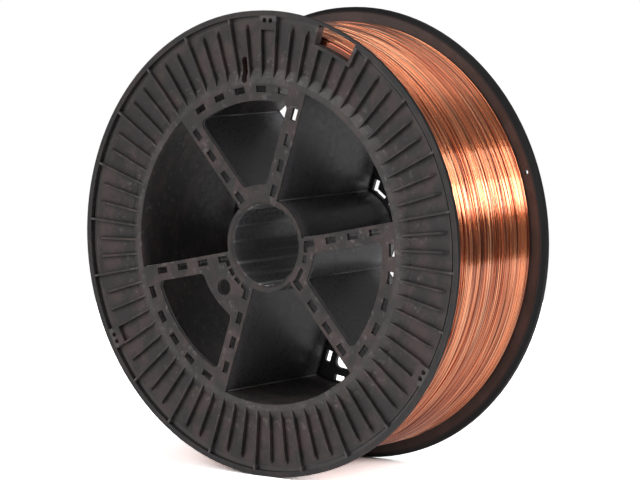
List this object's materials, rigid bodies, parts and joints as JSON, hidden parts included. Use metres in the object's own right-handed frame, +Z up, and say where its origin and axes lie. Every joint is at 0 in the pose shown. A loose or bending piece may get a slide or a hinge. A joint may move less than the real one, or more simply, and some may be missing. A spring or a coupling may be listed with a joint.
{
  "type": "welding wire spool",
  "caption": "Flanged plastic spool wound full of copper coated welding wire, with a spindle bore and drive holes for a wire feeder.",
  "frame": {"origin": "middle of the spool, on its axis half way between the outer faces of the flanges", "axes": "+Y along the spool's axis from the front flange with the notch to the back flange, +Z up as it stands on its rims, +X to the right seen from the front"},
  "size_m": [0.3, 0.103, 0.3],
  "materials": {
    "spool_plastic": "black moulded polystyrene, matt on the faces and smooth inside",
    "coppered_wire": "drawn steel wire with a bright copper coating, laid in close turns"
  },
  "bodies": {
    "root": {"wire_spool": "spool_plastic", "wire_winding": "coppered_wire"}
  },
  "joints": []
}
